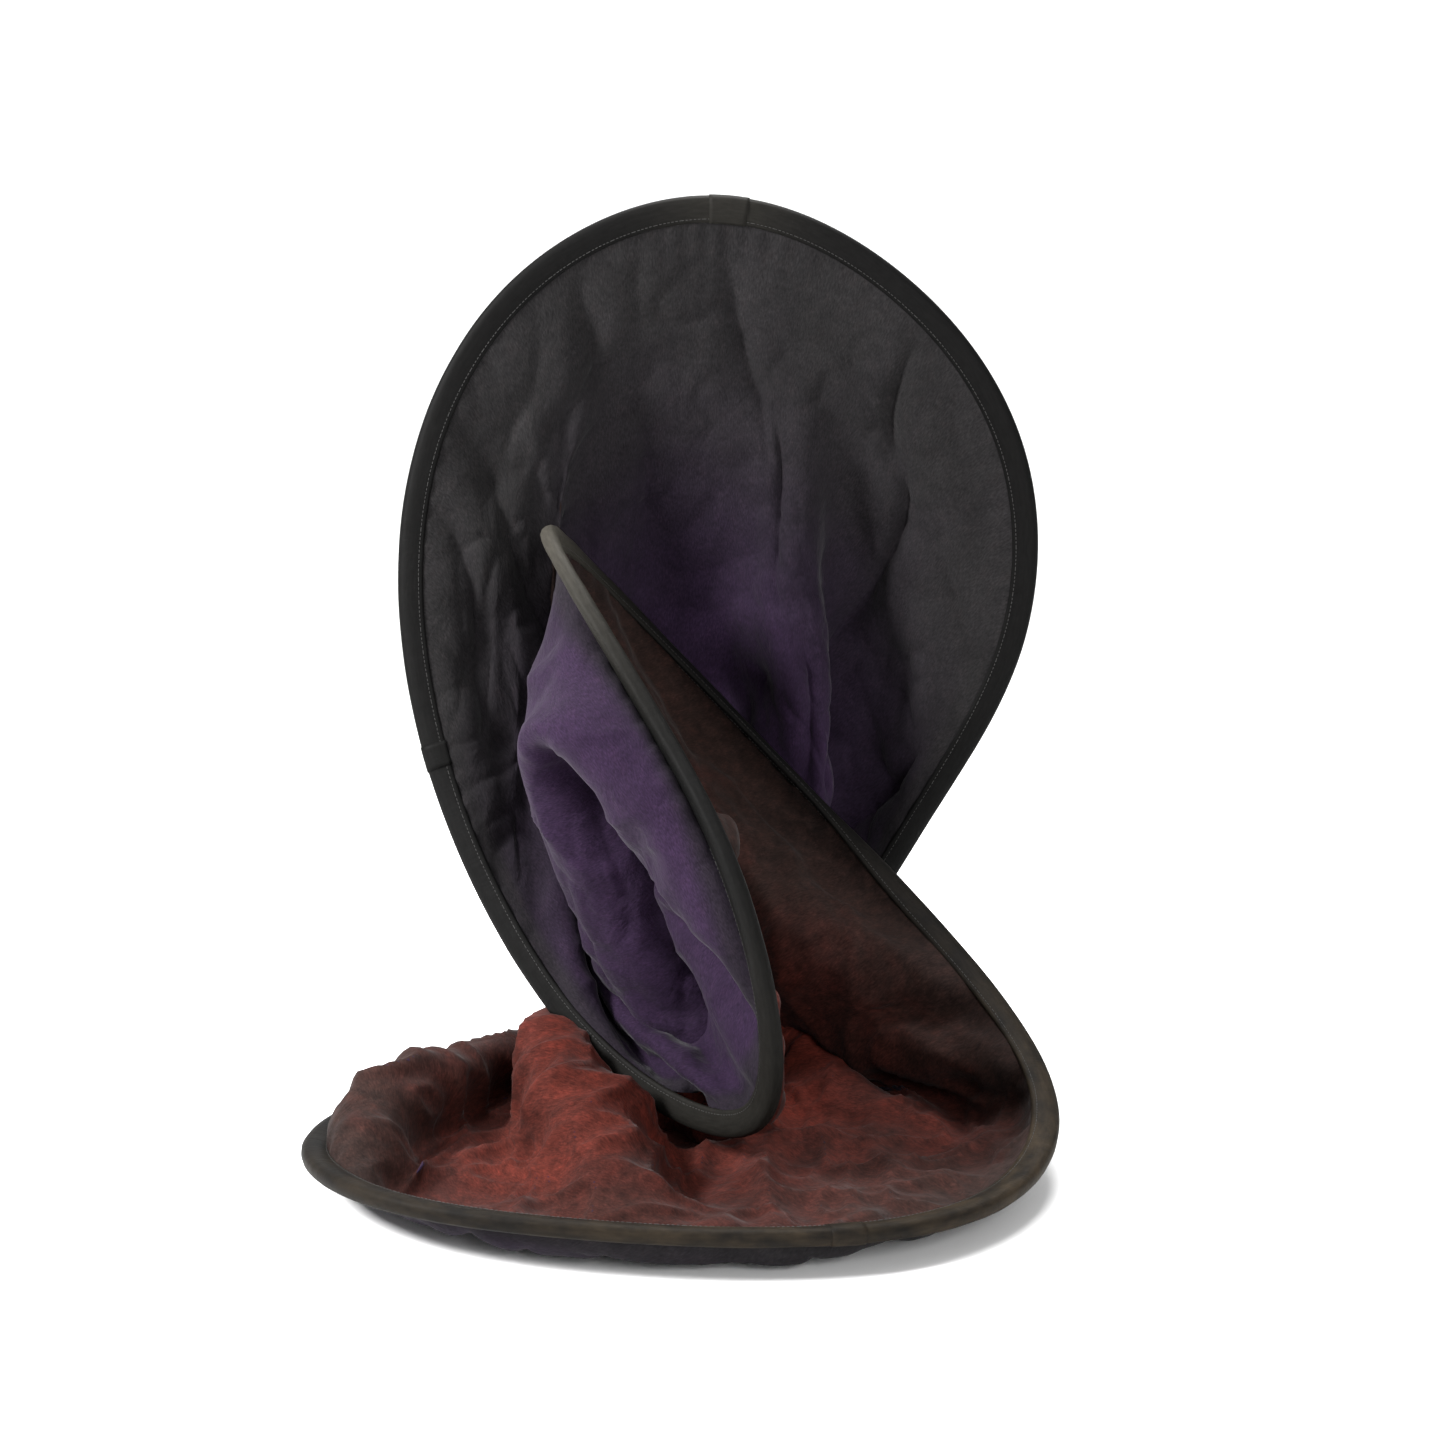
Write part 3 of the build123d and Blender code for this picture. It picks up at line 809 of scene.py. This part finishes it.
def binding_material():
    """Black satin tape, rubbed grey where it bends most and brown where it drags on the floor."""
    material, tree, shader = new_material("binding_tape")
    rubbed = add_node(tree, "ShaderNodeAttribute", attribute_name="rubbed").outputs["Fac"]
    soiled = add_node(tree, "ShaderNodeAttribute", attribute_name="soiled").outputs["Fac"]
    grain = ramp(tree, noise(tree, (60, 300, 1), 3.0, 0.6), GRAIN_STOPS)
    colour = mix(tree, "MIX", rubbed, TAPE_BLACK, TAPE_RUBBED)
    patchy = ramp(tree, noise(tree, (22, 40, 1), 4.0, 0.6), SOIL_STOPS)
    colour = mix(tree, "MIX", math_node(tree, "MULTIPLY", soiled, patchy), colour, TAPE_SOILED)
    tree.links.new(mix(tree, "MULTIPLY", 0.8, colour, grain), shader.inputs["Base Color"])
    shader.inputs["Roughness"].default_value = 0.58
    shader.inputs["Specular IOR Level"].default_value = 0.05
    ribs = noise(tree, (420, 24, 1), 2.0, 0.5)
    creased = noise(tree, (55, 18, 1), 3.0, 0.6, 0.5)
    bump(tree, shader, [(creased, 0.45, 0.0016), (ribs, 0.35, 0.0004)])
    return material


binding_tape = binding_material()


def plain_material(name, colour, roughness, metallic=0.0):
    material, tree, shader = new_material(name)
    shader.inputs["Base Color"].default_value = (*colour, 1.0)
    shader.inputs["Roughness"].default_value = roughness
    shader.inputs["Metallic"].default_value = metallic
    return material


thread = plain_material("thread", (0.020, 0.019, 0.018), 0.6)
steels = {
    "spring_steel": plain_material("spring_steel", (0.42, 0.42, 0.44), 0.34, 1.0),
    "ferrule_steel": plain_material("ferrule_steel", (0.50, 0.50, 0.50), 0.42, 1.0),
    "rivet_steel": plain_material("rivet_steel", (0.58, 0.57, 0.55), 0.30, 1.0),
}
STEEL_NODES = {
    "spring_band": "spring_steel",
    "band_ferrule": "ferrule_steel",
    "ferrule_rivets": "rivet_steel",
}
for name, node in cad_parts.items():
    for start, finish in STEEL_NODES.items():
        if name.startswith(start):
            node.data.materials.clear()
            node.data.materials.append(steels[finish])

# ---------------------------------------------------------------- the two panels
FRONT_DYE = (0.05, -0.05, 0.60, 1.18)  # its middle on the cut, where it is full, where it ends
BACK_DYE = (0.08, -0.55, 0.10, 0.84)
DYE_WIDE = 1.4  # the patch is an oval
DYE_LONG = 0.9
DYE_EDGE = 0.04  # from the rim, where the dye is weaker


def dye(middle_x, middle_y, full, end):
    """How strong the patch of dye is at each point of the sheet."""
    away = np.hypot(
        (sheet_plain[..., 0] - middle_x) / DYE_WIDE,
        (sheet_plain[..., 1] - middle_y) / DYE_LONG,
    )
    t = np.clip((end - away) / (end - full), 0, 1)
    return t * t * (3 - 2 * t) * np.clip(from_rim / DYE_EDGE, 0.5, 1)


rows, columns = sheet_at.shape[:2]
v, u = np.indices((rows - 1, columns - 1))
corner = v * columns + u
quads = np.stack([corner, corner + columns, corner + columns + 1, corner + 1], -1).reshape(-1, 4)
lobe_of = np.full(len(quads), "floor", dtype=object)
for lobe in ("upper", "inner_top", "inner_bottom"):
    part = lobe_part(lobe).ravel()
    lobe_of[part[quads].any(1)] = lobe

for face, side, material, amounts in (
    ("front", 1, front_fabric, dye(*FRONT_DYE)),
    ("back", -1, back_fabric, dye(*BACK_DYE)),
):
    points = (sheet_at + side * PANEL_GAP * sheet_normal).reshape(-1, 3)
    for lobe in LOBES:
        mine = lobe_of == lobe
        faces, at, flat, dyed = only_used(
            quads[mine][:, ::side], points, sheet_cut.reshape(-1, 2), amounts.ravel()
        )
        name = f"{face}_cloth_{lobe}"
        piece = new_piece(name, at, faces.tolist(), material, flat, {"dye": dyed})
        replaced = [f"{face}_panel_{lobe}"]
        if lobe == "floor":
            replaced.append(f"{face}_panel_middle")
        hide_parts(*replaced)
        follow(piece, lobe)

# ---------------------------------------------------------------- the binding
# The sleeve's section round the steel: towards the fabric, and across it.
SLEEVE = [
    (0.0190, 0.0016),
    (0.0165, 0.0030),
    (0.0115, 0.0052),
    (0.0050, 0.0078),
    (-0.0020, 0.0090),
    (-0.0080, 0.0084),
    (-0.0112, 0.0050),
    (-0.0122, 0.0),
    (-0.0112, -0.0050),
    (-0.0080, -0.0084),
    (-0.0020, -0.0090),
    (0.0050, -0.0078),
    (0.0115, -0.0052),
    (0.0165, -0.0030),
    (0.0190, -0.0016),
]
SLEEVE_MIDDLE = (0.003, 0.0)
RING_STEP = 2  # points of the hoop's line from one ring to the next
RUBBED = [(0.645, 0.030, 1.0), (0.003, 0.012, 0.25), (0.775, 0.030, 0.25)]  # share, spread, amount
SOILED = [(0.455, 0.060, 1.0), (0.400, 0.050, 0.8), (0.345, 0.040, 0.5)]


def marks(share, places):
    """How strong the marks at these places are at each share of the hoop."""
    total = np.zeros(len(share))
    for place, spread, amount in places:
        away = np.abs(np.mod(share - place + 0.5, 1) - 0.5)
        total = np.maximum(total, amount * np.exp(-((away / spread) ** 2)))
    return total


def sleeve(name, start, end, grow=0.0, closed=False):
    """A stretch of binding from one share of the hoop to another."""
    count = int(round((end - start) * RIM_COUNT / RING_STEP))
    share = np.linspace(start, end, count + 1)
    k = rim_index(share)
    shape = np.array(SLEEVE)
    shape = shape + grow * unit(shape - np.array(SLEEVE_MIDDLE))
    run = share * HOOP_LENGTH
    swell = 1 + 0.035 * np.sin(run / 0.019 + 2 * np.sin(run / 0.11)) * np.sin(run / 0.37)
    swell += 0.020 * np.sin(run / 0.0075) * (marks(share, RUBBED) + 0.15)
    x = shape[None, :, 0:1] * np.ones((len(k), 1, 1))
    y = shape[None, :, 1:2] * swell[:, None, None]
    points = rim_at[k][:, None] + rim_side[k][:, None] * x + rim_across[k][:, None] * y
    around = len(shape)
    girth = np.concatenate([[0], np.cumsum(np.linalg.norm(np.diff(shape, axis=0), axis=1))])
    uv = np.stack(np.broadcast_arrays(run[:, None], girth[None, :]), -1)
    ring, spot = np.indices((len(k) - 1, around))
    a = ring * around + spot
    b = ring * around + (spot + 1) % around
    faces = np.stack([a, b, b + around, a + around], -1).reshape(-1, 4).tolist()
    if closed:
        faces += [list(range(around))[::-1], [len(k) * around - around + i for i in range(around)]]
    values = {
        "rubbed": np.repeat(marks(share, RUBBED), around),
        "soiled": np.repeat(marks(share, SOILED), around),
    }
    points, uv = points.reshape(-1, 3), uv.reshape(-1, 2)
    return new_piece(name, points, faces, binding_tape, uv, values)


bindings = {}
for lobe, (start, end, far) in LOBES.items():
    bindings[lobe] = sleeve(f"binding_{lobe}", start, end)
    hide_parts(f"rim_sleeve_{lobe}")
    follow(bindings[lobe], lobe)

# Each tape join: its lobe, its middle as a share of the hoop, its length.
TAPE_JOINS = {
    "crest": ("upper", 0.003, 0.046),
    "left": ("upper", -0.128, 0.030),
    "front": ("floor", 0.412, 0.034),
}
for name, (lobe, middle, length) in TAPE_JOINS.items():
    half = length / HOOP_LENGTH / 2
    join = sleeve(f"join_{name}", middle - half, middle + half, grow=0.0011, closed=True)
    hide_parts(f"tape_join_{name}")
    follow(join, lobe)

# ---------------------------------------------------------------- stitching
STITCH_EVERY = 0.0046
STITCH_LONG = 0.0030
STITCH_HALF = 0.00045
STITCH_IN = 0.0148  # from the hoop's line
STITCH_OUT = 0.0038  # from the sheet's middle, on both faces


def stitch_row(lobe):
    """One row of stitches along each face of a lobe's binding."""
    start, end, far = LOBES[lobe]
    count = int((end - start) * HOOP_LENGTH / STITCH_EVERY)
    share = start + (np.arange(count) + 0.5) / count * (end - start)
    k = rim_index(share)
    points, faces = [], []
    ends = [(-1, 0.5), (-0.7, 1), (0.7, 1), (1, 0.5)]
    around = [(1, 0), (0, 1), (-1, 0), (0, -1)]
    for side in (1, -1):
        middle = rim_at[k] + rim_side[k] * STITCH_IN + rim_across[k] * (side * STITCH_OUT)
        for i in range(count):
            first = len(points)
            for along, wide in ends:
                for x, y in around:
                    reach = rim_along[k[i]] * (along * STITCH_LONG / 2)
                    reach = reach + rim_side[k[i]] * (x * wide * STITCH_HALF)
                    points.append(middle[i] + reach + rim_across[k[i]] * (y * wide * STITCH_HALF))
            for ring in range(3):
                for spot in range(4):
                    a = first + 4 * ring + spot
                    b = first + 4 * ring + (spot + 1) % 4
                    faces.append((a, b, b + 4, a + 4))
    return new_piece(f"stitches_{lobe}", points, faces, thread)


for lobe in LOBES:
    follow(stitch_row(lobe), lobe)

# ---------------------------------------------------------------- floor, light and camera
FLOOR_HALF = 7.0
SWEEP_FROM = 4.2
SWEEP_RADIUS = 1.5
SWEEP_HIGH = 6.0
SWEEP_POINTS = 13
WORLD_LIGHT = 0.45
turns = np.linspace(0, math.pi / 2, SWEEP_POINTS)
profile = [(-FLOOR_HALF, 0.0)]
profile += [(SWEEP_FROM + SWEEP_RADIUS * math.sin(t), SWEEP_RADIUS * (1 - math.cos(t))) for t in turns]
profile += [(SWEEP_FROM + SWEEP_RADIUS, SWEEP_HIGH)]
sweep_points = [(x, y, z) for y, z in profile for x in (-FLOOR_HALF, FLOOR_HALF)]
sweep_faces = [(2 * i, 2 * i + 1, 2 * i + 3, 2 * i + 2) for i in range(len(profile) - 1)]
floor_mesh = bpy.data.meshes.new("floor")
floor_mesh.from_pydata(sweep_points, [], sweep_faces)
floor_mesh.polygons.foreach_set("use_smooth", [True] * len(sweep_faces))
floor_mesh.materials.append(plain_material("floor", (0.92, 0.92, 0.92), 0.9))
floor = bpy.data.objects.new("floor", floor_mesh)
bpy.context.scene.collection.objects.link(floor)

world = bpy.data.worlds.new("studio")
world.use_nodes = True
world.node_tree.nodes["Background"].inputs["Color"].default_value = (1.0, 1.0, 1.0, 1.0)
world.node_tree.nodes["Background"].inputs["Strength"].default_value = WORLD_LIGHT
bpy.context.scene.world = world

OBJECT_MIDDLE = Vector((0.03, 0.10, 0.45))
# Each softbox: where it stands, its size and its power.
SOFTBOXES = {
    "key": ((-2.6, -1.0, 2.2), 0.8, 260),
    "fill": ((1.5, -3.0, 1.7), 1.6, 62),
    "top": ((0.3, 0.6, 3.4), 1.6, 95),
    "wall": ((0.0, 1.8, 4.6), 3.0, 260),
}
for name, (place, size, power) in SOFTBOXES.items():
    data = bpy.data.lights.new(name, "AREA")
    data.size = size
    data.energy = power
    lamp = bpy.data.objects.new(name, data)
    lamp.location = place
    lamp.rotation_euler = (OBJECT_MIDDLE - Vector(place)).to_track_quat("-Z", "Y").to_euler()
    bpy.context.scene.collection.objects.link(lamp)

camera_data = bpy.data.cameras.new("camera")
camera_data.lens = CAMERA_LENS
camera_data.sensor_width = 36
camera = bpy.data.objects.new("camera", camera_data)
camera.location = CAMERA_AT
camera.rotation_euler = (math.radians(90 - CAMERA_DOWN), 0, 0)
bpy.context.scene.collection.objects.link(camera)
bpy.context.scene.camera = camera
bpy.context.scene.view_settings.view_transform = "Standard"
